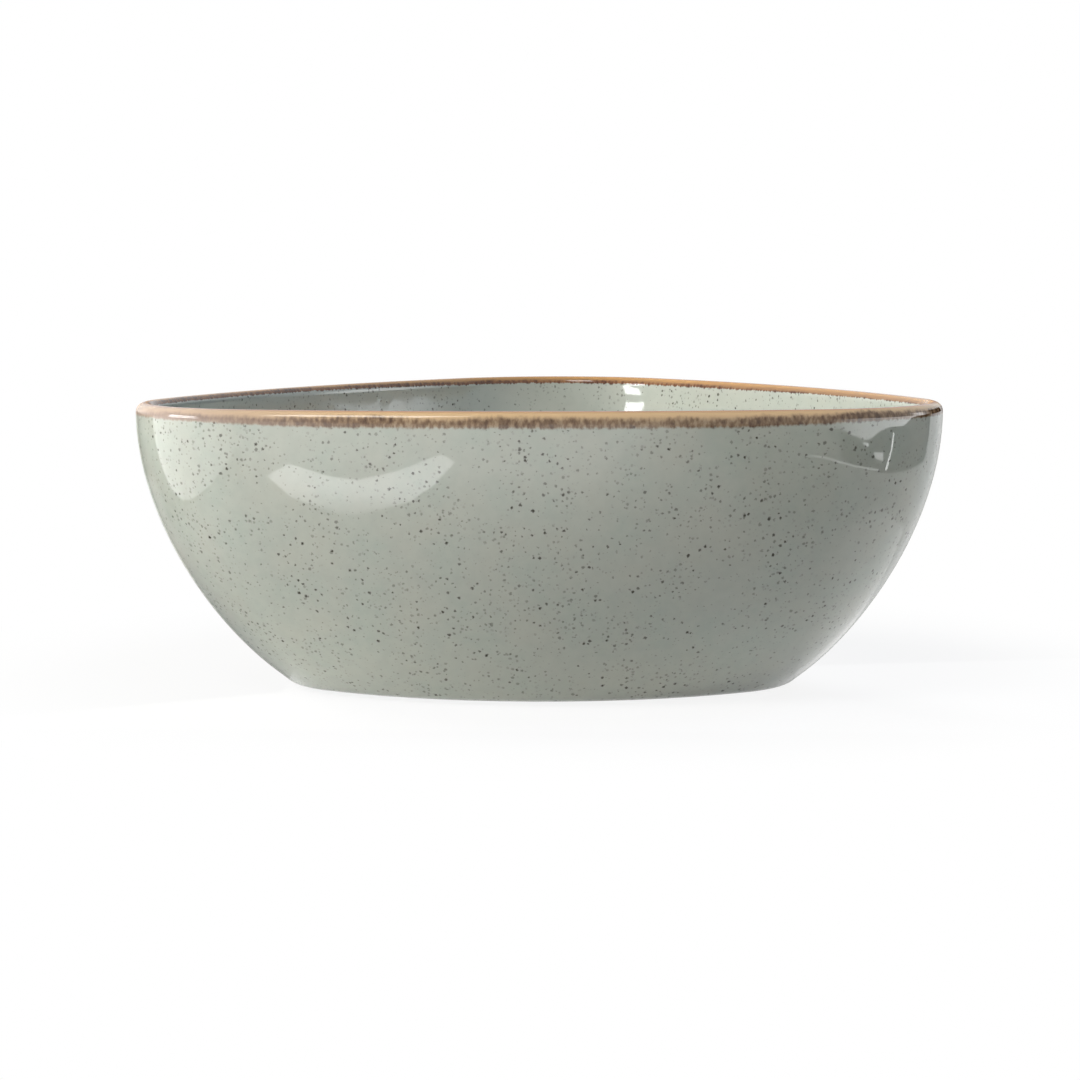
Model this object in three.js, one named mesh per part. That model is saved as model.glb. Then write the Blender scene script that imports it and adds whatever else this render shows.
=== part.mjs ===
// Triangular serving bowl in glazed stoneware.
// A fired clay body stands on a bare foot ring. A grey glaze coats its outside, its inside and the
// recess under its base, and a brown glaze bands the lip. The coats are fused to the clay.
// Millimetres, +Z up. One side of the triangle faces -Y and the opposite corner points to +Y.
// The origin lies on the plane that the foot stands on, under the middle of the bowl's bounding box.

import * as THREE from "three";

// Rim outline, at the widest part of the wall
const HEIGHT = 72.5; // foot plane to the top of the lip
const RIM_SIDE_REACH = 82.5; // axis to the middle of a side
const RIM_CORNER_RISE = 26.5; // how much further a corner reaches than a side
const RIM_CORNER_RADIUS = 42;

// Base outline, where the wall curve starts
const BASE_SIDE_REACH = 60.5;
const BASE_CORNER_RISE = 10;
const BASE_CORNER_RADIUS = 26;
const BASE_EDGE_RADIUS = 5; // rounding between the underside and the wall

// Pulls on the wall curve: outwards and upwards at the base, straight down at the rim
const WALL_BASE_OUT = 14.5;
const WALL_BASE_UP = 12.5;
const WALL_RIM_DOWN = 27;

// Thicknesses of the wall, both coats included, and of one coat
const RIM_WALL = 4.6;
const BASE_WALL = 6;
const GLAZE = 0.5;

// Inside floor
const FLOOR_HEIGHT = 7.5; // foot plane to the glazed floor
const FLOOR_FILLET = 24; // rounding between the floor and the wall
const CORNER_FADE = 3.3; // power by which the corners soften towards the middle of the floor

// Foot ring and the glazed recess inside it
const FOOT_HEIGHT = 0.8;
const FOOT_INSET = 5; // in from the base's rounded edge
const FOOT_WIDTH = 4;
const FOOT_CHAMFER = 0.3;
const RECESS_HEIGHT = 2; // foot plane to the glaze under the base

// Depth of the brown band below the top of the lip
const BAND_OUTSIDE = 4.5;
const BAND_INSIDE = 3.2;

// Facets
const SIDE_STEPS = 6;
const CORNER_STEPS = 8;
const EDGE_STEPS = 2;
const WALL_STEPS = 8;
const BAND_STEPS = 1;
const LIP_STEPS = 6;
const INNER_STEPS = 7;
const FILLET_STEPS = 4;

const SIXTH_TURN = Math.PI / 3;
const FRONT = -Math.PI / 2;
const { lerp } = THREE.MathUtils;

// Outlines: a rounded triangle is three shallow side arcs joined by three corner arcs

const RIM = { side: RIM_SIDE_REACH, rise: RIM_CORNER_RISE, radius: RIM_CORNER_RADIUS };
const BASE = { side: BASE_SIDE_REACH, rise: BASE_CORNER_RISE, radius: BASE_CORNER_RADIUS };

const meanReach = ({ side, rise }) => side + rise / 2;

const inset = ({ side, rise, radius }, by) => ({ side: side - by, rise, radius: radius - by });

const between = (a, b, share) => ({
  side: lerp(a.side, b.side, share),
  rise: lerp(a.rise, b.rise, share),
  radius: lerp(a.radius, b.radius, share),
});

// The outline drawn in to a smaller mean reach, with its corners fading into a circle.
function shrunk(outline, reach) {
  const share = reach / meanReach(outline);
  const rise = outline.rise * share ** CORNER_FADE;
  return { side: reach - rise / 2, rise, radius: outline.radius * share };
}

const pointAt = (centre, direction, radius, angle, z) =>
  new THREE.Vector3(
    centre * Math.cos(direction) + radius * Math.cos(angle),
    centre * Math.sin(direction) + radius * Math.sin(angle),
    z,
  );

// The points of an outline at a height, counter-clockwise from the left end of the front side.
function ring({ side, rise, radius }, z) {
  const cornerCentre = side + rise - radius;
  const flat = side - radius;
  const sideCentre = (cornerCentre ** 2 - flat ** 2) / (2 * flat - cornerCentre);
  const sideRadius = side + sideCentre;
  const across = cornerCentre * Math.sin(SIXTH_TURN);
  const along = sideCentre + cornerCentre * Math.cos(SIXTH_TURN);
  const sideTurn = Math.atan(across / along);
  const cornerTurn = SIXTH_TURN - sideTurn;

  const points = [];
  for (let third = 0; third < 3; third++) {
    const facing = FRONT + third * 2 * SIXTH_TURN;
    for (let i = 0; i < SIDE_STEPS; i++) {
      const angle = facing + lerp(-sideTurn, sideTurn, i / SIDE_STEPS);
      points.push(pointAt(-sideCentre, facing, sideRadius, angle, z));
    }
    const corner = facing + SIXTH_TURN;
    for (let i = 0; i < CORNER_STEPS; i++) {
      const angle = corner + lerp(-cornerTurn, cornerTurn, i / CORNER_STEPS);
      points.push(pointAt(cornerCentre, corner, radius, angle, z));
    }
  }
  return points;
}

const pole = (z) => [new THREE.Vector3(0, 0, z)];

const steps = (count, make) => Array.from({ length: count + 1 }, (_, i) => make(i / count));

// Outside: the rounded base edge, the wall curve and the lip.
// Depth is measured from the glazed outside, square to the wall, into its thickness.

const LIP_RADIUS = RIM_WALL / 2;
const LIP_CENTRE = HEIGHT - LIP_RADIUS;
const WALL_LEAN = Math.atan2(WALL_BASE_UP, WALL_BASE_OUT); // the wall above the horizontal, at the base
const EDGE_WIDTH = BASE_EDGE_RADIUS * Math.sin(WALL_LEAN);
const WALL_START = FOOT_HEIGHT + BASE_EDGE_RADIUS * (1 - Math.cos(WALL_LEAN));

const wallCurve = new THREE.CubicBezierCurve(
  new THREE.Vector2(meanReach(BASE), WALL_START),
  new THREE.Vector2(meanReach(BASE) + WALL_BASE_OUT, WALL_START + WALL_BASE_UP),
  new THREE.Vector2(meanReach(RIM), LIP_CENTRE - WALL_RIM_DOWN),
  new THREE.Vector2(meanReach(RIM), LIP_CENTRE),
);

// A point of the wall: its outline, height and outward normal in the plane of reach and height.
function wallAt(t) {
  const { x: reach, y: z } = wallCurve.getPoint(t);
  const tangent = wallCurve.getTangent(t);
  const share = (reach - meanReach(BASE)) / (meanReach(RIM) - meanReach(BASE));
  return {
    outline: between(BASE, RIM, share),
    z,
    out: tangent.y,
    down: tangent.x,
    thickness: lerp(BASE_WALL, RIM_WALL, share),
  };
}

const outlineAt = ({ outline, out }, depth) => inset(outline, depth * out);
const heightAt = ({ z, down }, depth) => z + depth * down;

function wallRing(t, depth) {
  const wall = wallAt(t);
  return ring(outlineAt(wall, depth), heightAt(wall, depth));
}

// The inside of the wall, or its clay where a coat is taken off.
function innerRing(t, coat) {
  const wall = wallAt(t);
  const depth = wall.thickness - coat;
  return ring(outlineAt(wall, depth), heightAt(wall, depth));
}

function edgeRing(angle, depth) {
  const radius = BASE_EDGE_RADIUS - depth;
  const by = EDGE_WIDTH - radius * Math.sin(angle);
  return ring(inset(BASE, by), FOOT_HEIGHT + BASE_EDGE_RADIUS - radius * Math.cos(angle));
}

function lipRing(angle, depth) {
  const radius = LIP_RADIUS - depth;
  return ring(inset(RIM, LIP_RADIUS - radius * Math.cos(angle)), LIP_CENTRE + radius * Math.sin(angle));
}

// The place on the wall curve where a measure that grows with height passes zero.
function wallWhere(measure) {
  let low = 0;
  let high = 1;
  for (let i = 0; i < 50; i++) {
    const middle = (low + high) / 2;
    if (measure(wallAt(middle)) < 0) low = middle;
    else high = middle;
  }
  return (low + high) / 2;
}

const BAND_FOOT_OUTSIDE = wallWhere(({ z }) => z - (HEIGHT - BAND_OUTSIDE));
const BAND_FOOT_INSIDE = wallWhere(({ z }) => z - (HEIGHT - BAND_INSIDE));

// Inside floor: the fillet rolls along the inner wall until it touches the floor

const FILLET_CENTRE = FLOOR_HEIGHT + FLOOR_FILLET;
const FILLET_TOP = wallWhere((wall) => heightAt(wall, wall.thickness + FLOOR_FILLET) - FILLET_CENTRE);

function floorRings(coat) {
  const wall = wallAt(FILLET_TOP);
  const top = outlineAt(wall, wall.thickness - coat);
  const radius = FLOOR_FILLET + coat;
  const centre = meanReach(top) - radius * wall.out;
  const lean = Math.atan2(wall.out, wall.down);
  const fillet = steps(FILLET_STEPS, (share) => {
    const angle = lerp(lean, 0, share);
    return ring(shrunk(top, centre + radius * Math.sin(angle)), FILLET_CENTRE - radius * Math.cos(angle));
  });
  return [...fillet, pole(FLOOR_HEIGHT - coat)];
}

// Sheets of rings, in order from the axis under the base, round the outside and over the lip, to the
// axis inside the bowl. Depth 0 is a glazed face, and depth GLAZE is the clay under it.

const FOOT_OUTSIDE = EDGE_WIDTH + FOOT_INSET;
const FOOT_INSIDE = FOOT_OUTSIDE + FOOT_WIDTH;

const recessSheet = (depth) => [
  pole(RECESS_HEIGHT + depth),
  ring(inset(BASE, FOOT_INSIDE), RECESS_HEIGHT + depth),
];

const footSheet = [
  ring(inset(BASE, FOOT_INSIDE), FOOT_CHAMFER),
  ring(inset(BASE, FOOT_INSIDE - FOOT_CHAMFER), 0),
  ring(inset(BASE, FOOT_OUTSIDE + FOOT_CHAMFER), 0),
  ring(inset(BASE, FOOT_OUTSIDE), FOOT_CHAMFER),
];

const outerSheet = (depth) => [
  ring(inset(BASE, FOOT_OUTSIDE), FOOT_HEIGHT + depth),
  ...steps(EDGE_STEPS, (share) => edgeRing(share * WALL_LEAN, depth)),
  ...steps(WALL_STEPS, (share) => wallRing(share * BAND_FOOT_OUTSIDE, depth)).slice(1),
];

const bandSheet = (depth) => [
  ...steps(BAND_STEPS, (share) => wallRing(lerp(BAND_FOOT_OUTSIDE, 1, share), depth)).slice(0, -1),
  ...steps(LIP_STEPS, (share) => lipRing(share * Math.PI, depth)),
  ...steps(BAND_STEPS, (share) => innerRing(lerp(1, BAND_FOOT_INSIDE, share), depth)).slice(1),
];

const innerSheet = (depth) => [
  ...steps(INNER_STEPS, (share) => innerRing(lerp(BAND_FOOT_INSIDE, FILLET_TOP, share), depth)),
  ...floorRings(depth).slice(1),
];

// Skins

// Triangles between neighbouring rings of a sheet, facing out. A pole closes a sheet on the axis.
function trianglesOf(rings) {
  const triangles = [];
  for (let i = 0; i + 1 < rings.length; i++) {
    const [a, b] = [rings[i], rings[i + 1]];
    const count = Math.max(a.length, b.length);
    for (let j = 0; j < count; j++) {
      const next = (j + 1) % count;
      if (a.length > 1) triangles.push([a[j], a[next], b[next % b.length]]);
      if (b.length > 1) triangles.push([a[j % a.length], b[next], b[j]]);
    }
  }
  return triangles;
}

function geometryOf(triangles) {
  const geometry = new THREE.BufferGeometry().setFromPoints(triangles.flat());
  geometry.computeVertexNormals();
  return geometry;
}

// A coat between its glazed face and the clay, with its open edges closed.
function coatGeometry(sheet) {
  const face = sheet(0);
  const back = sheet(GLAZE);
  const edges = [
    [back[0], face[0]],
    [face.at(-1), back.at(-1)],
  ].filter(([start]) => start.length > 1);
  return geometryOf([
    ...trianglesOf(face),
    ...trianglesOf(back).map((triangle) => triangle.toReversed()),
    ...edges.flatMap(trianglesOf),
  ]);
}

// Neighbouring sheets of the clay share a ring, except at the foot.
const clayGeometry = () =>
  geometryOf(
    trianglesOf([
      ...recessSheet(GLAZE),
      ...footSheet,
      ...outerSheet(GLAZE),
      ...bandSheet(GLAZE).slice(1),
      ...innerSheet(GLAZE).slice(1),
    ]),
  );

// Assembly

const clay = new THREE.MeshStandardMaterial({ color: "#cbbfae", roughness: 0.9, metalness: 0 });
const greyGlaze = new THREE.MeshStandardMaterial({ color: "#a3a79c", roughness: 0.12, metalness: 0 });
const brownGlaze = new THREE.MeshStandardMaterial({ color: "#8a6a4c", roughness: 0.12, metalness: 0 });

const bowl = new THREE.Group();

function add(name, geometry, material) {
  const mesh = new THREE.Mesh(geometry, material);
  mesh.name = name;
  bowl.add(mesh);
}

add("clay_body", clayGeometry(), clay);
add("outer_glaze", coatGeometry(outerSheet), greyGlaze);
add("inner_glaze", coatGeometry(innerSheet), greyGlaze);
add("rim_glaze", coatGeometry(bandSheet), brownGlaze);
add("base_glaze", coatGeometry(recessSheet), greyGlaze);

bowl.position.y = -RIM_CORNER_RISE / 2;

export default bowl;
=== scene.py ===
"""Looks of a triangular stoneware bowl: fine meshes of its clay and its glaze coats, their finishes, and
a plain white studio with the camera at the photograph's viewing angle."""

import math
from collections import namedtuple

import bpy
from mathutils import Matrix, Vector, noise


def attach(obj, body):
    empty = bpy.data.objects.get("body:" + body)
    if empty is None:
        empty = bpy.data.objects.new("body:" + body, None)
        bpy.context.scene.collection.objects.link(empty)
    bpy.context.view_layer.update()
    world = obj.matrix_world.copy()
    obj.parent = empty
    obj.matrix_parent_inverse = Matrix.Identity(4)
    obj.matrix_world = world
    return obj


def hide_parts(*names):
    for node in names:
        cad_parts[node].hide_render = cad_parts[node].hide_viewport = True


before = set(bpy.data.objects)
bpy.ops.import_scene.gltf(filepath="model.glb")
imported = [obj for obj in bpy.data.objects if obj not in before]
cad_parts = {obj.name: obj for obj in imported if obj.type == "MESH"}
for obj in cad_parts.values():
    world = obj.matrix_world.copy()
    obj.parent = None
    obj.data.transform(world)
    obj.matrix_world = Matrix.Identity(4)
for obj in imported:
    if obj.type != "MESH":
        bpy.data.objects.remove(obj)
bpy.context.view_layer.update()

# Sizes of the bowl in millimetres, as in the CAD model

HEIGHT = 72.5
BASE_EDGE_RADIUS = 5.0
WALL_BASE_OUT = 14.5
WALL_BASE_UP = 12.5
WALL_RIM_DOWN = 27.0
RIM_WALL = 4.6
BASE_WALL = 6.0
GLAZE = 0.5
FLOOR_HEIGHT = 7.5
FLOOR_FILLET = 24.0
CORNER_FADE = 3.3
FOOT_HEIGHT = 0.8
FOOT_INSET = 5.0
FOOT_WIDTH = 4.0
FOOT_ROUNDING = 0.4
RECESS_HEIGHT = 2.0
BAND_OUTSIDE = 4.5
BAND_INSIDE = 3.2

# A rounded triangle: axis to the middle of a side, how much further a corner reaches, corner radius
Outline = namedtuple("Outline", "side rise radius")
RIM = Outline(82.5, 26.5, 42.0)
BASE = Outline(60.5, 10.0, 26.0)

# Fine detail that the coats have over the CAD model, in millimetres: a ripple, how far the glazed faces
# are drawn in to stay inside the CAD model, the rounded ends beside the foot ring, how the inner coat
# thins towards the lip, and how far down the inside the brown band shows
RIPPLE = 0.05
RIPPLE_LENGTH = 26.0
DRAWN_IN = 0.16
BEAD = 1.2
BEAD_RISE = 0.45
FLARE_FOOT = 60.0
FLARE_LEAN = 0.045
FLARE_EASE = 3.0
BAND_INSIDE_SEEN = 2.3

# Mesh steps
SIDE_STEPS = 14
CORNER_STEPS = 24
EDGE_STEPS = 8
WALL_STEPS = 30
BAND_STEPS = 5
LIP_STEPS = 16
INNER_STEPS = 30
INNER_CROWDING = 1.7
FILLET_STEPS = 16
FLOOR_STEPS = 6
SHARP_ANGLE = 50.0
HALVINGS = 50

# Colours of the finishes: an sRGB code, or several with their places along a value from 0 to 1
GREY_GROUND = ((0.32, "#a3aaa0"), (0.5, "#a6aaa0"), (0.68, "#aaaca1"))
GREY_CLOUD = "#b0b4a9"
GREY_INSIDE = "#cdd1ca"
IRON = "#37332a"
AMBER = ((0.0, "#8f6040"), (0.05, "#b98b5d"), (0.13, "#cfae80"), (0.4, "#c3a681"))
BROWN = ((0.28, "#9d876b"), (0.46, "#7e654b"), (0.6, "#624a35"), (0.78, "#412d1e"))
BROWN_SPOT = "#443025"
# Pale grey-pink mixed into the outer band's left end as a painted highlight
BAND_HIGHLIGHT_TINT = "#a6958a"
# The inside lip's gold: the band's own glaze colour, darkened as painted shade
GOLD = ((0.0, "#a97a42"), (0.15, "#b7874a"), (0.5, "#916c46"))
DARK_BROWN = ((0.34, "#8a5c33"), (0.5, "#6b4226"), (0.66, "#4b2b18"))
CLAY = ((0.3, "#b5a690"), (0.5, "#c6b8a3"), (0.7, "#d2c6b4"))
RUST = "#6d5138"

# Sizes of the finishes' patterns, in millimetres. Streaks are drawn out along the height.
DRIFT_SIZE = 13.0
CLOUD_SIZE = 2.6
STREAK_SIZE = 0.95
STREAK_DRAWN = (1.0, 1.0, 0.55)
PATCH_SIZE = 17.0
WAVE_SIZE = 7.0
WAVE_HEIGHT = 0.4
GLOSS_SIZE = 3.0
GRAIN_SIZE = 0.5
GRAIN_HEIGHT = 0.2

# Specks: cell size, smallest and largest radius, and seed. The iron specks also have a least and a most
# strength.
IRON_SPECKS = (
    ((1.15, (0.2, 0.47), 3.7), (0.12, 0.6)),
    ((1.45, (0.2, 0.5), 47.1), (0.35, 1.0)),
)
BAND_SPOTS = (2.3, (0.35, 0.8), 21.3)
CLAY_SPECKS = (1.3, (0.1, 0.3), 5.1)
SPECK_EDGE = 0.25
SPECK_WOBBLE = 0.6
WOBBLE_SIZE = 0.5
CROWD_SIZE = 11.0

# How a value sets a result: its low and high end, and the result at each, which is 0 and 1 if not given.
# Depth is a share of the band's width under the lip, and across is millimetres from the bowl's middle.
SPECKS_CROWD = (0.32, 0.62, 0.5, 1.1)
CLOUDS_SHOW = (0.3, 0.7, 0.0, 0.42)
BROWN_STARTS = (0.14, 0.45)
BROWN_LATE_LEFT = (-80.0, -25.0, -0.15, 0.0)
SPOTS_LOW_DOWN = (0.5, 0.8, 0.0, 0.95)
# Where the outer band takes its painted highlight, from the left
HIGHLIGHT_TOWARDS_LEFT = (-95.0, -30.0, 0.75, 0.0)
GOLD_ENDS = (0.4, 0.72)
# Painted light on the inside lip: the gold is drawn out on the right as a painted highlight and cut short
# on the left as painted shade
GOLD_LIT_RIGHT = (20.0, 70.0, 0.12, -0.18)
GOLD_SHADED_LEFT = (-85.0, -30.0, 0.3, 0.0)
TORN_INSIDE = (0.0, 1.0, 0.3, 0.7)
BAND_ENDS = (0.77, 0.96, 1.0, 0.0)
INNER_BAND_THINS = (-85.0, -20.0, 0.7, 0.0)
BAND_THINS_AT_ENDS = (45.0, 98.0, 0.0, 0.4)
GLAZE_ROUGHNESS = (0.3, 0.7, 0.035, 0.06)
ROUGHER_EDGE_ON = (0.82, 0.96, 0.0, 0.4)
CLAY_ROUGHNESS = (0.3, 0.7, 0.8, 0.95)
TABLE_WHITENS = (90.0, 175.0, 0.88, 1.0)

# Other amounts in the finishes
INSIDE_PALER = 0.2
STREAK_SHIFT = 0.3
PATCH_SHIFT = 0.7
PATCH_TONE = 0.5
GLAZE_IOR = 1.5
WAVE_STRENGTH = 0.06
GRAIN_STRENGTH = 0.5

# Camera, from the bowl's axis: millimetres and degrees
CAMERA_DISTANCE = 748.0
CAMERA_HEIGHT = 109.6
CAMERA_AZIMUTH = 2.3
CAMERA_PITCH = 5.74
CAMERA_PAN = 0.06
CAMERA_ROLL = 0.15
CAMERA_LENS = 95.97

# Strength of the white surroundings as light on the bowl, and the table's paper
AMBIENT = 0.17
WHITE = (1, 1, 1, 1)
PAPER = (0.85, 0.85, 0.85, 1)

# Lamps, in millimetres from the bowl's axis: name, place, aim, width and height, colour, watts, and
# whether the glaze shows their glint
LAMPS = (
    ("key", (-400, -690, 950), (0, 0, 40), (400, 400), "#ffffff", 3.9, True),
    ("left_front", (-800, -500, 600), (0, 0, 50), (400, 400), "#fffdf6", 5.9, False),
    ("left_back", (-850, 400, 500), (0, 0, 50), (400, 400), "#fffdf6", 8.2, False),
    ("right_high", (700, 200, 900), (0, 0, 50), (400, 400), "#c4d8ff", 3.2, False),
    ("strip", (550, -85, -60), (0, -80, 60), (12, 100), "#ffffff", 0.03, True),
)


def upright(x, *corners):
    """A sheet's corners, square to x, from pairs of y and z."""
    return [(x, y, z) for y, z in corners]


def lying(z, *corners):
    """A sheet's corners, at one height, from pairs of x and y."""
    return [(x, y, z) for x, y in corners]


TABLE = lying(-0.1, (-175, -250), (166, -253), (227, -88), (300, 110), (300, 330), (-175, 330))

# Sheets round the table, unseen by the camera. A sheet glows like the white background, with an extra
# glow, or less of it, that comes in along each of its fades: direction, where it starts and is full
Sheet = namedtuple("Sheet", "corners extra fades")
SHEETS = {
    "left_card": Sheet(
        upright(
            -500, (162, 65), (162, 35), (156, -60), (123, -112), (58, -140), (11, -148), (-67, -157),
            (-225, -157), (-398, -135), (-623, -91), (-690, -35), (-690, 65),
        ),
        1.4,
        [((0, 1, 0), -900, -300)],
    ),
    "left_flag": Sheet(
        upright(-550, (-330, -600), (2500, -600), (2500, 70), (-330, 70)),
        -0.9,
        [((0, 1, 0), -330, -120)],
    ),
    "front_card": Sheet(
        lying(1, (-120, -95), (56, -95), (96, -253), (274, -950), (-700, -950), (-500, -590), (-180, -205)),
        1.2,
        [((0, 1, 0), -110, -320), ((1, 0.255, 0), 32, -60)],
    ),
    "front_shade": Sheet(
        lying(0.5, (42, -95), (128, -95), (254, -250), (418, -450), (400, -800), (222, -800)),
        -0.5,
        [((1, 0.255, 0), 32, 60), ((1, 0.82, 0), 50, 10), ((0, -1, 0), 95, 160)],
    ),
    "smile_card": Sheet(
        lying(
            2, (-150, -225), (-140, -180), (-110, -150), (-78, -140), (-60, -175), (-58, -220),
            (-62, -300), (-80, -342), (-88, -240), (-98, -203), (-120, -206),
        ),
        4.4,
        [((-0.35, -0.94, 0), 150, 225)],
    ),
    "left_shade": Sheet(
        lying(
            1, (-64, -38), (-64, 5), (-55, 34), (-32, 62), (-5, 76), (-5, 330), (-260, 330),
            (-260, 120), (-205, 55), (-175, 40), (-175, -110),
        ),
        -0.6,
        [((0, 1, 0), -110, -10)],
    ),
    "right_glow": Sheet(
        lying(1, (66, -30), (62, 10), (160, 30), (170, -60), (120, -85), (90, -75), (80, -52)),
        0.4,
        [((1, 0.82, 0), 20, 60)],
    ),
    "right_window": Sheet(
        upright(700, (60, 78), (350, 78), (350, 260), (60, 260)),
        3.6,
        [((0, -1, 0), -350, -240), ((0, 1, 0), 60, 200)],
    ),
    "right_shade": Sheet(
        upright(700, (350, 60), (1400, 60), (1400, 320), (350, 320)),
        -1.0,
        [((0, 1, 0), 350, 520)],
    ),
    "blob_card": Sheet(
        upright(595, (-345, -62), (-300, -58), (-275, -66), (-300, -76), (-345, -72)),
        4.0,
        [],
    ),
    "foot_card": Sheet(
        upright(595, (-230, -88), (-150, -80), (-130, -105), (-200, -108)),
        3.0,
        [],
    ),
    "edge_card": Sheet(
        lying(1, (166, -253), (174, -253), (235, -88), (227, -88)),
        2.0,
        [],
    ),
    "right_flag_front": Sheet(
        [(300, -960, -600), (600, -860, -600), (600, -860, -46), (300, -960, -30)],
        -1.0,
        [((1, 0, 0), 300, 560)],
    ),
    "right_flag": Sheet(
        upright(
            600, (-860, -600), (386, -600), (386, 100), (100, 45), (25, 18), (-89, -3), (-215, -26),
            (-324, -53), (-496, -55), (-711, -49), (-860, -46),
        ),
        -1.0,
        [],
    ),
    "right_card": Sheet(
        upright(620, (-900, -75), (130, -75), (130, 90), (-900, 90)),
        3.3,
        [((0, 1, 0), -900, -300)],
    ),
    "window_low": Sheet(
        upright(-950, (-424, 95), (-330, 178), (-28, 152), (60, 146), (60, 85)),
        14.0,
        [],
    ),
    "window_high": Sheet(
        upright(-950, (-300, 235), (-350, 330), (60, 330), (60, 188), (-24, 195)),
        14.0,
        [],
    ),
}

MM = 0.001
SIXTH_TURN = math.pi / 3
QUARTER_TURN = math.pi / 2
FRONT = -QUARTER_TURN
AXIS_Y = -RIM.rise / 2
FAR_FROM_RIM = 99.0

# A ring of points round the bowl, and its distance below the lip as a share of the brown band, which is
# negative on the inside
Ring = namedtuple("Ring", "points band")


def lerp(low, high, share):
    return low + (high - low) * share


def steps(count, make):
    return [make(i / count) for i in range(count + 1)]


def from_axis(x, y, z):
    """A place in the scene from millimetres and the bowl's axis."""
    return Vector((x * MM, (y + AXIS_Y) * MM, z * MM))


# Outlines

def mean_reach(outline):
    return outline.side + outline.rise / 2


def inset(outline, by):
    return Outline(outline.side - by, outline.rise, outline.radius - by)


def between(low, high, share):
    return Outline(*(lerp(a, b, share) for a, b in zip(low, high)))


def shrunk(outline, reach):
    """The outline drawn in to a smaller mean reach, with its corners fading into a circle."""
    share = reach / mean_reach(outline)
    rise = outline.rise * share**CORNER_FADE
    return Outline(reach - rise / 2, rise, outline.radius * share)


def arcs(outline):
    """The outline's six arcs in turn: centre distance, centre direction, radius, half turn and steps."""
    corner_centre = outline.side + outline.rise - outline.radius
    flat = outline.side - outline.radius
    side_centre = (corner_centre**2 - flat**2) / (2 * flat - corner_centre)
    across = corner_centre * math.sin(SIXTH_TURN)
    along = side_centre + corner_centre * math.cos(SIXTH_TURN)
    side_turn = math.atan(across / along)
    corner_turn = SIXTH_TURN - side_turn
    for third in range(3):
        facing = FRONT + third * 2 * SIXTH_TURN
        yield -side_centre, facing, outline.side + side_centre, side_turn, SIDE_STEPS
        yield corner_centre, facing + SIXTH_TURN, outline.radius, corner_turn, CORNER_STEPS


def ripple(x, y, z):
    """Slight unevenness of a glazed face, square to the wall."""
    return RIPPLE * noise.noise(Vector((x, y, z)) / RIPPLE_LENGTH) - DRAWN_IN


def ring(outline, z, band=FAR_FROM_RIM, glazed=False):
    """Points of an outline at a height, counter-clockwise from the left end of the front side."""
    points = []
    for centre, direction, radius, half_turn, count in arcs(outline):
        for i in range(count):
            angle = direction + lerp(-half_turn, half_turn, i / count)
            x = centre * math.cos(direction) + radius * math.cos(angle)
            y = centre * math.sin(direction) + radius * math.sin(angle)
            out = ripple(x, y, z) if glazed else 0.0
            points.append((x + out * math.cos(angle), y + out * math.sin(angle), z))
    return Ring(points, band)


def pole(z, band=FAR_FROM_RIM):
    return Ring([(0.0, 0.0, z)], band)


# Wall, lip and floor. Depth is measured from the glazed outside, square to the wall.

LIP_RADIUS = RIM_WALL / 2
LIP_CENTRE = HEIGHT - LIP_RADIUS
WALL_LEAN = math.atan2(WALL_BASE_UP, WALL_BASE_OUT)
EDGE_WIDTH = BASE_EDGE_RADIUS * math.sin(WALL_LEAN)
WALL_START = FOOT_HEIGHT + BASE_EDGE_RADIUS * (1 - math.cos(WALL_LEAN))
FOOT_OUTSIDE = EDGE_WIDTH + FOOT_INSET
FOOT_INSIDE = FOOT_OUTSIDE + FOOT_WIDTH
FILLET_CENTRE = FLOOR_HEIGHT + FLOOR_FILLET

WALL_CURVE = [
    Vector((mean_reach(BASE), WALL_START)),
    Vector((mean_reach(BASE) + WALL_BASE_OUT, WALL_START + WALL_BASE_UP)),
    Vector((mean_reach(RIM), LIP_CENTRE - WALL_RIM_DOWN)),
    Vector((mean_reach(RIM), LIP_CENTRE)),
]

# A place on the wall: its outline, height, outward normal (out and down) and thickness
Wall = namedtuple("Wall", "outline z out down thickness")


def wall_at(t):
    a, b, c, d = WALL_CURVE
    point = (1 - t) ** 3 * a + 3 * t * (1 - t) ** 2 * b + 3 * t**2 * (1 - t) * c + t**3 * d
    slope = (1 - t) ** 2 * (b - a) + 2 * t * (1 - t) * (c - b) + t**2 * (d - c)
    slope.normalize()
    share = (point.x - mean_reach(BASE)) / (mean_reach(RIM) - mean_reach(BASE))
    thickness = lerp(BASE_WALL, RIM_WALL, share)
    return Wall(between(BASE, RIM, share), point.y, slope.y, slope.x, thickness)


def wall_where(measure):
    """The place on the wall curve where a measure that grows with height passes zero."""
    low, high = 0.0, 1.0
    for _ in range(HALVINGS):
        middle = (low + high) / 2
        if measure(wall_at(middle)) < 0:
            low = middle
        else:
            high = middle
    return (low + high) / 2


BAND_FOOT_OUTSIDE = wall_where(lambda wall: wall.z - (HEIGHT - BAND_OUTSIDE))
BAND_FOOT_INSIDE = wall_where(lambda wall: wall.z - (HEIGHT - BAND_INSIDE))
FILLET_TOP = wall_where(
    lambda wall: wall.z + (wall.thickness + FLOOR_FILLET) * wall.down - FILLET_CENTRE
)


def flare(z):
    """How far the inner coat draws back as it thins towards the lip."""
    above = max(0.0, z - FLARE_FOOT)
    return FLARE_LEAN * above**2 / (above + FLARE_EASE)


def wall_ring(t, depth):
    wall = wall_at(t)
    z = wall.z + depth * wall.down
    return ring(inset(wall.outline, depth * wall.out), z, (HEIGHT - z) / BAND_OUTSIDE, depth == 0)


def inner_ring(t, coat):
    wall = wall_at(t)
    depth = wall.thickness - coat
    if coat == 0:
        depth -= flare(wall.z)
    z = wall.z + depth * wall.down
    return ring(inset(wall.outline, depth * wall.out), z, (z - HEIGHT) / BAND_INSIDE_SEEN, coat == 0)


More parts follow.
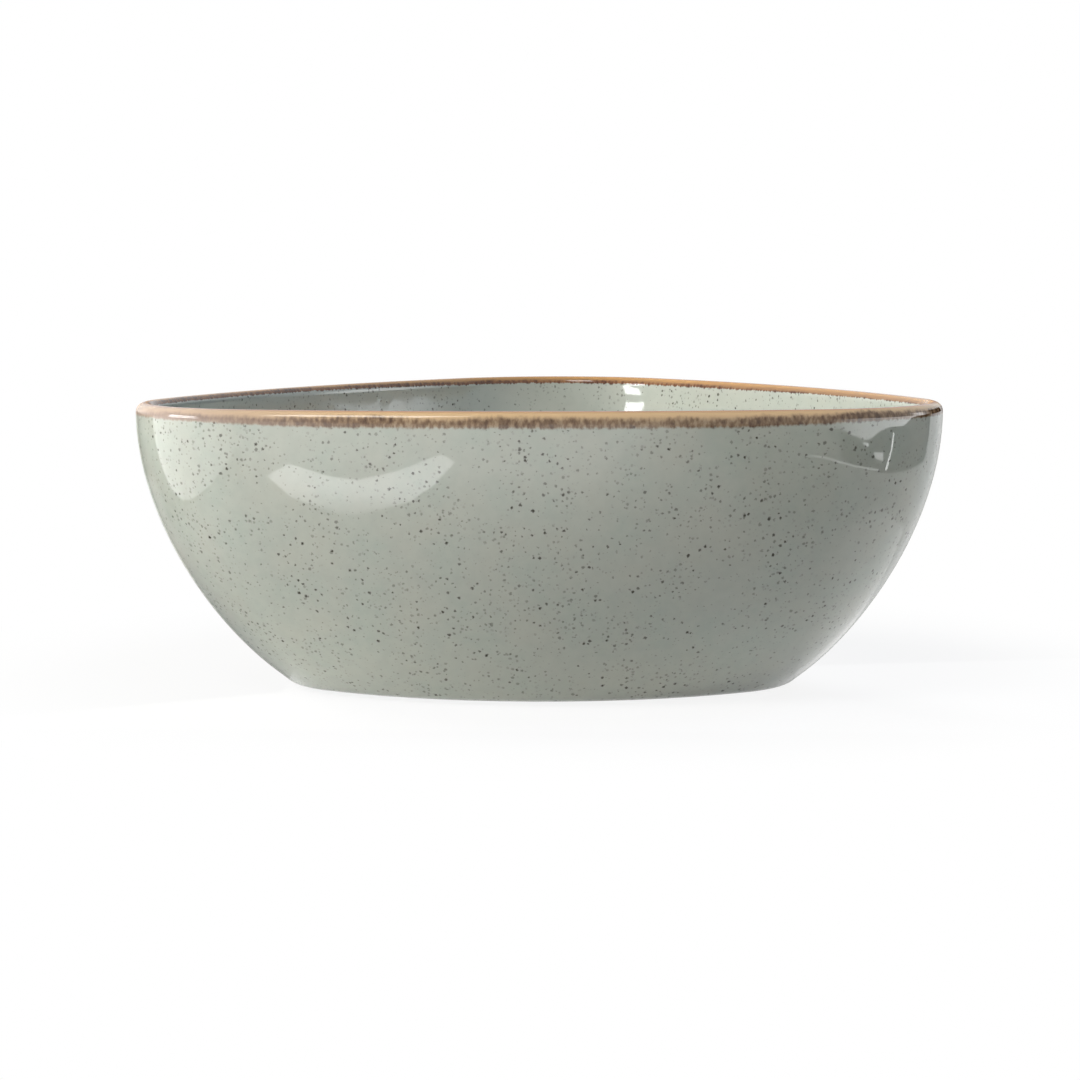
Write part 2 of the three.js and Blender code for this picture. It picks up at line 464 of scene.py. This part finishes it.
def edge_ring(angle, depth):
    radius = BASE_EDGE_RADIUS - depth
    z = FOOT_HEIGHT + BASE_EDGE_RADIUS - radius * math.cos(angle)
    return ring(inset(BASE, EDGE_WIDTH - radius * math.sin(angle)), z)


def lip_ring(angle, depth):
    radius = LIP_RADIUS - depth
    z = LIP_CENTRE + radius * math.sin(angle)
    reach = BAND_OUTSIDE
    if angle > QUARTER_TURN:
        reach = -BAND_INSIDE_SEEN
        radius -= flare(LIP_CENTRE) if depth == 0 else 0.0
    return ring(inset(RIM, LIP_RADIUS - radius * math.cos(angle)), z, (HEIGHT - z) / reach, depth == 0)


def floor_rings(coat):
    wall = wall_at(FILLET_TOP)
    top = inset(wall.outline, (wall.thickness - coat) * wall.out)
    radius = FLOOR_FILLET + coat
    centre = mean_reach(top) - radius * wall.out
    lean = math.atan2(wall.out, wall.down)
    rings = []
    for angle in steps(FILLET_STEPS, lambda share: lerp(lean, 0.0, share)):
        reach = centre + radius * math.sin(angle)
        rings.append(ring(shrunk(top, reach), FILLET_CENTRE - radius * math.cos(angle), -FAR_FROM_RIM))
    for i in range(1, FLOOR_STEPS):
        reach = centre * (1 - i / FLOOR_STEPS)
        rings.append(ring(shrunk(top, reach), FLOOR_HEIGHT - coat, -FAR_FROM_RIM))
    return [*rings, pole(FLOOR_HEIGHT - coat, -FAR_FROM_RIM)]


# Sheets of rings, from the axis under the base, round the outside and over the lip, to the axis inside

def bead_rings(outline, direction, height):
    """The rounded end of a coat beside the foot ring, which thins out onto the clay."""
    rings = []
    for angle in steps(EDGE_STEPS, lambda share: share * QUARTER_TURN):
        by = direction * BEAD * (1 - math.sin(angle))
        rings.append(ring(inset(outline, -by), height + BEAD_RISE * (1 - math.sin(angle))))
    return rings


def recess_sheet(depth):
    edge = inset(BASE, FOOT_INSIDE)
    if depth:
        return [pole(RECESS_HEIGHT + depth), ring(edge, RECESS_HEIGHT + depth)]
    bead = bead_rings(inset(edge, BEAD), 1, RECESS_HEIGHT)
    return [pole(RECESS_HEIGHT), *reversed(bead)]


def outer_sheet(depth):
    edge = inset(BASE, FOOT_OUTSIDE)
    if depth:
        start = [ring(edge, FOOT_HEIGHT + depth)]
    else:
        start = bead_rings(inset(edge, -BEAD), -1, FOOT_HEIGHT)
    return [
        *start,
        *steps(EDGE_STEPS, lambda share: edge_ring(share * WALL_LEAN, depth)),
        *steps(WALL_STEPS, lambda share: wall_ring(share * BAND_FOOT_OUTSIDE, depth))[1:],
    ]


def band_sheet(depth):
    return [
        *steps(BAND_STEPS, lambda share: wall_ring(lerp(BAND_FOOT_OUTSIDE, 1, share), depth))[:-1],
        *steps(LIP_STEPS, lambda share: lip_ring(share * math.pi, depth)),
        *steps(BAND_STEPS, lambda share: inner_ring(lerp(1, BAND_FOOT_INSIDE, share), depth))[1:],
    ]


def inner_place(share):
    """A place on the way down the inside. Even shares lie closer together towards the rim."""
    return lerp(BAND_FOOT_INSIDE, FILLET_TOP, share**INNER_CROWDING)


def inner_sheet(depth):
    return [
        *steps(INNER_STEPS, lambda share: inner_ring(inner_place(share), depth)),
        *floor_rings(depth)[1:],
    ]


def foot_sheet():
    """The bare foot ring, with its two bottom edges rounded."""
    rings = []
    for middle, turn in ((FOOT_INSIDE - FOOT_ROUNDING, -1), (FOOT_OUTSIDE + FOOT_ROUNDING, 1)):
        for angle in steps(EDGE_STEPS, lambda share: share * QUARTER_TURN):
            swing = angle if turn > 0 else QUARTER_TURN - angle
            by = middle - turn * FOOT_ROUNDING * math.sin(swing)
            rings.append(ring(inset(BASE, by), FOOT_ROUNDING * (1 - math.cos(swing))))
    return rings


# Meshes

def join(faces, lower, upper):
    """Faces between two rings of vertex numbers, facing out. A ring of one number is a pole."""
    count = max(len(lower), len(upper))
    for i in range(count):
        k = (i + 1) % count
        if len(upper) == 1:
            faces.append((lower[i], lower[k], upper[0]))
        elif len(lower) == 1:
            faces.append((lower[0], upper[k], upper[i]))
        else:
            faces.append((lower[i], lower[k], upper[k], upper[i]))


def closed_mesh(name, rings):
    """A mesh skinned over rings that run from pole to pole, or round and back to the first ring."""
    points, bands, numbers = [], [], []
    for each in rings:
        numbers.append(range(len(points), len(points) + len(each.points)))
        points += [from_axis(*point) for point in each.points]
        bands += [each.band] * len(each.points)
    faces = []
    for lower, upper in zip(numbers, numbers[1:]):
        if max(len(lower), len(upper)) > 1:
            join(faces, lower, upper)
    if len(numbers[0]) > 1:
        join(faces, numbers[-1], numbers[0])
    mesh = bpy.data.meshes.new(name)
    mesh.from_pydata(points, [], faces)
    mesh.attributes.new("band", "FLOAT", "POINT").data.foreach_set("value", bands)
    mesh.shade_smooth()
    mesh.set_sharp_from_angle(angle=math.radians(SHARP_ANGLE))
    return mesh


def coat_rings(sheet):
    """A coat's glazed face and then its back, which lies on the clay."""
    return [*sheet(0), *reversed(sheet(GLAZE))]


def clay_rings():
    return [
        *recess_sheet(GLAZE),
        *foot_sheet(),
        *outer_sheet(GLAZE),
        *band_sheet(GLAZE)[1:],
        *inner_sheet(GLAZE)[1:],
    ]


def add_piece(name, rings, node, material):
    piece = bpy.data.objects.new(name, closed_mesh(name, rings))
    bpy.context.scene.collection.objects.link(piece)
    piece.data.materials.append(material)
    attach(piece, "root")
    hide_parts(node)


# Finishes

def colour(code):
    """A linear colour from an sRGB hex code."""
    parts = [int(code[i : i + 2], 16) / 255 for i in (1, 3, 5)]
    return (*(p / 12.92 if p <= 0.04045 else ((p + 0.055) / 1.055) ** 2.4 for p in parts), 1.0)


class Nodes:
    """A node tree, with short calls for the nodes that the finishes and the studio are made of."""

    def __init__(self, tree):
        self.tree = tree
        tree.nodes.clear()

    def add(self, kind, inputs=None, **settings):
        node = self.tree.nodes.new(kind)
        for name, value in settings.items():
            setattr(node, name, value)
        for key, value in (inputs or {}).items():
            if isinstance(value, bpy.types.NodeSocket):
                self.tree.links.new(value, node.inputs[key])
            else:
                node.inputs[key].default_value = value
        return node

    def math(self, operation, a, b=0.0, clamp=False):
        return self.add("ShaderNodeMath", {0: a, 1: b}, operation=operation, use_clamp=clamp).outputs[0]

    def vector(self, operation, a, b):
        second = "Scale" if operation == "SCALE" else 1
        return self.add("ShaderNodeVectorMath", {0: a, second: b}, operation=operation).outputs[0]

    def span(self, value, low, high, start=0.0, end=1.0):
        """The value's way from low to high, eased, as a number from start to end."""
        inputs = {"Value": value, "From Min": low, "From Max": high, "To Min": start, "To Max": end}
        return self.add("ShaderNodeMapRange", inputs, interpolation_type="SMOOTHSTEP").outputs[0]

    def mix(self, share, low, high):
        return self.add("ShaderNodeMix", {0: share, 6: low, 7: high}, data_type="RGBA").outputs[2]

    def ramp(self, value, stops):
        """Colours along a value, from pairs of place and hex code."""
        node = self.add("ShaderNodeValToRGB", {0: value})
        elements = node.color_ramp.elements
        while len(elements) < len(stops):
            elements.new(1.0)
        for element, (where, code) in zip(elements, stops):
            element.position = where
            element.color = colour(code)
        return node.outputs[0]


class Finish(Nodes):
    """A material's nodes. Its place is in millimetres."""

    def __init__(self, name):
        self.material = bpy.data.materials.new(name)
        self.material.use_nodes = True
        super().__init__(self.material.node_tree)
        place = self.add("ShaderNodeTexCoord").outputs["Object"]
        self.place = self.vector("SCALE", place, 1 / MM)

    def noise(self, size, detail=2.0, place=None):
        inputs = {"Vector": place or self.place, "Scale": 1 / size, "Detail": detail}
        return self.add("ShaderNodeTexNoise", inputs).outputs

    def specks(self, cell, radii, seed):
        """Round specks of uneven outline, one a cell: how far a point is in one, and a chance for each."""
        wobble = self.vector("SUBTRACT", self.noise(WOBBLE_SIZE, 1.0)["Color"], (0.5, 0.5, 0.5))
        moved = self.vector("ADD", self.place, self.vector("SCALE", wobble, SPECK_WOBBLE))
        place = self.vector("ADD", moved, (seed, seed, seed))
        cells = self.add("ShaderNodeTexVoronoi", {"Vector": place, "Scale": 1 / cell})
        chance = self.add("ShaderNodeSeparateColor", {0: cells.outputs["Color"]}).outputs
        crowd = self.span(self.noise(CROWD_SIZE, 2.0, place)[0], *SPECKS_CROWD)
        radius = self.math("MULTIPLY", self.span(chance[0], 0.0, 1.0, *radii), crowd)
        distance = self.math("MULTIPLY", cells.outputs["Distance"], cell)
        inside = self.math("DIVIDE", self.math("SUBTRACT", radius, distance), SPECK_EDGE, clamp=True)
        return inside, chance[1]

    def end(self, kind, inputs):
        """Ends the tree in a shader of this kind."""
        self.add("ShaderNodeOutputMaterial", {0: self.add(kind, inputs).outputs[0]})
        return self.material


def grey_colour(finish, inside):
    """Speckled grey: a mottled ground, a little paler inside, with iron specks of two kinds."""
    ground = finish.ramp(finish.noise(DRIFT_SIZE, 3.0)[0], GREY_GROUND)
    cloud = finish.span(finish.noise(CLOUD_SIZE, 4.0)[0], *CLOUDS_SHOW)
    ground = finish.mix(cloud, ground, colour(GREY_CLOUD))
    ground = finish.mix(finish.math("MULTIPLY", inside, INSIDE_PALER), ground, colour(GREY_INSIDE))
    for layer, strengths in IRON_SPECKS:
        speck, chance = finish.specks(*layer)
        strength = finish.span(chance, 0.0, 1.0, *strengths)
        ground = finish.mix(finish.math("MULTIPLY", speck, strength), ground, colour(IRON))
    return ground


def outer_band(finish, depth, across, shift, tone):
    """Amber over the lip, then streaky brown with spots low down. Towards the left it is mixed with a pale
    grey-pink, a painted highlight of the light that washes over the band there.
    """
    late = finish.math("ADD", shift, finish.span(across, *BROWN_LATE_LEFT))
    turn = finish.span(finish.math("ADD", depth, late), *BROWN_STARTS)
    hue = finish.mix(turn, finish.ramp(depth, AMBER), finish.ramp(tone, BROWN))
    spot, chance = finish.specks(*BAND_SPOTS)
    low = finish.math("MULTIPLY", spot, finish.span(depth, *SPOTS_LOW_DOWN))
    hue = finish.mix(finish.math("MULTIPLY", low, chance), hue, colour(BROWN_SPOT))
    # Painted highlight: the band turns paler towards the left
    return finish.mix(finish.span(across, *HIGHLIGHT_TOWARDS_LEFT), hue, colour(BAND_HIGHLIGHT_TINT))


def inner_band(finish, depth, across, shift, tone):
    """Gold, then dark brown, with more gold towards the right. The gold is the band's own colour darkened
    as painted shade. It is cut short on the left as more painted shade and drawn out on the right as a
    painted highlight, following how the inside lip is lit.
    """
    right = finish.span(across, *GOLD_LIT_RIGHT)
    left = finish.span(across, *GOLD_SHADED_LEFT)
    # Painted highlight on the right and painted shade on the left of the inside lip
    painted_light_shift = finish.math("ADD", right, left)
    turn = finish.span(finish.math("ADD", finish.math("ADD", depth, shift), painted_light_shift), *GOLD_ENDS)
    return finish.mix(turn, finish.ramp(depth, GOLD), finish.ramp(tone, DARK_BROWN))


def band_colour(finish, depth, across, inside, ground):
    """The brown band, which has run down in short soft streaks to a ragged edge on the ground."""
    drawn = finish.vector("MULTIPLY", finish.place, STREAK_DRAWN)
    streak = finish.noise(STREAK_SIZE, 3.0, drawn)[0]
    run = finish.math("SUBTRACT", streak, 0.5)
    lean = finish.math("SUBTRACT", finish.noise(PATCH_SIZE, 3.0)[0], 0.5)
    runs = finish.math("MULTIPLY", run, STREAK_SHIFT)
    shift = finish.math("ADD", runs, finish.math("MULTIPLY", lean, PATCH_SHIFT))
    tone = finish.math("ADD", streak, finish.math("MULTIPLY", lean, PATCH_TONE))
    outer = outer_band(finish, depth, across, shift, tone)
    inner = inner_band(finish, depth, across, shift, tone)
    hue = finish.mix(inside, outer, inner)
    torn = finish.math("MULTIPLY", run, finish.span(inside, *TORN_INSIDE))
    ragged = finish.math("SUBTRACT", depth, torn)
    return finish.mix(finish.span(ragged, *BAND_ENDS), ground, hue)


def glaze_finish(name):
    """Glossy glaze, grey with a brown band that thins inside on the left and at the two front corners."""
    finish = Finish(name)
    band = finish.add("ShaderNodeAttribute", attribute_name="band").outputs["Fac"]
    across = finish.add("ShaderNodeSeparateXYZ", {0: finish.place}).outputs["X"]
    inside = finish.math("LESS_THAN", band, 0.0)
    thin = finish.math("MULTIPLY", inside, finish.span(across, *INNER_BAND_THINS))
    ends = finish.span(finish.math("ABSOLUTE", across), *BAND_THINS_AT_ENDS)
    narrowing = finish.math("ADD", finish.math("MAXIMUM", thin, ends), 1.0)
    depth = finish.math("MULTIPLY", finish.math("ABSOLUTE", band), narrowing)
    ground = grey_colour(finish, inside)
    wave = finish.noise(WAVE_SIZE, 2.0)[0]
    relief = {"Strength": WAVE_STRENGTH, "Distance": WAVE_HEIGHT * MM, "Height": wave}
    uneven = finish.span(finish.noise(GLOSS_SIZE, 3.0)[0], *GLAZE_ROUGHNESS)
    facing = finish.add("ShaderNodeLayerWeight", {"Blend": 0.5}).outputs["Facing"]
    edge_on = finish.span(facing, *ROUGHER_EDGE_ON)
    inputs = {
        "Base Color": band_colour(finish, depth, across, inside, ground),
        "Roughness": finish.math("ADD", uneven, edge_on),
        "IOR": GLAZE_IOR,
        "Normal": finish.add("ShaderNodeBump", relief).outputs[0],
    }
    return finish.end("ShaderNodeBsdfPrincipled", inputs)


def clay_finish():
    """Matt fired clay with a fine grain and small specks of rust."""
    finish = Finish("bare_clay")
    grain = finish.noise(GRAIN_SIZE, 4.0)[0]
    speck, chance = finish.specks(*CLAY_SPECKS)
    rusty = finish.math("MULTIPLY", speck, chance)
    relief = {"Strength": GRAIN_STRENGTH, "Distance": GRAIN_HEIGHT * MM, "Height": grain}
    inputs = {
        "Base Color": finish.mix(rusty, finish.ramp(grain, CLAY), colour(RUST)),
        "Roughness": finish.span(grain, *CLAY_ROUGHNESS),
        "Normal": finish.add("ShaderNodeBump", relief).outputs[0],
    }
    return finish.end("ShaderNodeBsdfPrincipled", inputs)


# Studio

def seen_directly(nodes):
    """1 for rays from the camera and for reflected or refracted ones."""
    path = nodes.add("ShaderNodeLightPath").outputs
    glossy = nodes.math("MAXIMUM", path["Is Glossy Ray"], path["Is Transmission Ray"])
    return nodes.math("MAXIMUM", path["Is Camera Ray"], glossy)


def white_glow(nodes):
    """Strength of the white surroundings: 1 where they are seen, and less as light on the bowl."""
    return nodes.span(seen_directly(nodes), 0.0, 1.0, AMBIENT, 1.0)


def table_finish():
    """White paper that keeps the bowl's shadow and blends into the white background."""
    finish = Finish("white_table")
    paper = finish.add("ShaderNodeBsdfDiffuse", {"Color": PAPER})
    white = finish.add("ShaderNodeEmission", {"Color": WHITE, "Strength": 1.0})
    reach = finish.add("ShaderNodeVectorMath", {0: finish.place}, operation="LENGTH").outputs["Value"]
    share = finish.math("MULTIPLY", finish.span(reach, *TABLE_WHITENS), seen_directly(finish))
    return finish.end("ShaderNodeMixShader", {0: share, 1: paper.outputs[0], 2: white.outputs[0]})


def sheet_finish(name, extra, fades):
    """The glow of the white background, with the sheet's extra glow added."""
    finish = Finish(name)
    share = 1.0
    for direction, start, full in fades:
        inputs = {0: finish.place, 1: direction}
        along = finish.add("ShaderNodeVectorMath", inputs, operation="DOT_PRODUCT").outputs["Value"]
        share = finish.math("MULTIPLY", finish.span(along, start, full), share)
    glow = finish.math("ADD", finish.math("MULTIPLY", share, extra), white_glow(finish))
    return finish.end("ShaderNodeEmission", {"Strength": finish.math("MAXIMUM", glow, 0.0)})


def add_stage(name, corners, material, seen=True):
    mesh = bpy.data.meshes.new(name)
    mesh.from_pydata([from_axis(*corner) for corner in corners], [], [range(len(corners))])
    mesh.materials.append(material)
    sheet = bpy.data.objects.new(name, mesh)
    sheet.visible_camera = seen
    sheet.visible_shadow = seen
    bpy.context.scene.collection.objects.link(sheet)


def add_lamp(name, place, aim, size, tint, power, glint):
    data = bpy.data.lights.new(name, "AREA")
    data.shape = "RECTANGLE"
    data.size, data.size_y = (side * MM for side in size)
    data.color = colour(tint)[:3]
    data.energy = power
    lamp = bpy.data.objects.new(name, data)
    lamp.location = from_axis(*place)
    lamp.rotation_euler = (from_axis(*aim) - lamp.location).to_track_quat("-Z", "Y").to_euler()
    lamp.visible_camera = False
    lamp.visible_glossy = glint
    bpy.context.scene.collection.objects.link(lamp)


def add_world():
    world = bpy.data.worlds.new("studio")
    bpy.context.scene.world = world
    world.use_nodes = True
    nodes = Nodes(world.node_tree)
    light = nodes.add("ShaderNodeBackground", {"Color": WHITE, "Strength": white_glow(nodes)})
    nodes.add("ShaderNodeOutputWorld", {0: light.outputs[0]})


def add_studio():
    add_world()
    add_stage("table", TABLE, table_finish())
    for name, sheet in SHEETS.items():
        add_stage(name, sheet.corners, sheet_finish(name, sheet.extra, sheet.fades), seen=False)
    for lamp in LAMPS:
        add_lamp(*lamp)


def add_camera():
    data = bpy.data.cameras.new("camera")
    data.lens = CAMERA_LENS
    camera = bpy.data.objects.new("camera", data)
    azimuth = math.radians(CAMERA_AZIMUTH)
    camera.location = from_axis(
        CAMERA_DISTANCE * math.sin(azimuth), -CAMERA_DISTANCE * math.cos(azimuth), CAMERA_HEIGHT
    )
    camera.rotation_euler = (
        math.radians(90 - CAMERA_PITCH),
        math.radians(CAMERA_ROLL),
        azimuth + math.radians(CAMERA_PAN),
    )
    bpy.context.scene.collection.objects.link(camera)
    bpy.context.scene.camera = camera


glaze = glaze_finish("speckled_glaze")
add_piece("bowl_clay", clay_rings(), "clay_body", clay_finish())
add_piece("bowl_outer_glaze", coat_rings(outer_sheet), "outer_glaze", glaze)
add_piece("bowl_inner_glaze", coat_rings(inner_sheet), "inner_glaze", glaze)
add_piece("bowl_rim_glaze", coat_rings(band_sheet), "rim_glaze", glaze)
add_piece("bowl_base_glaze", coat_rings(recess_sheet), "base_glaze", glaze)

add_studio()
add_camera()
bpy.context.scene.view_settings.view_transform = "Standard"
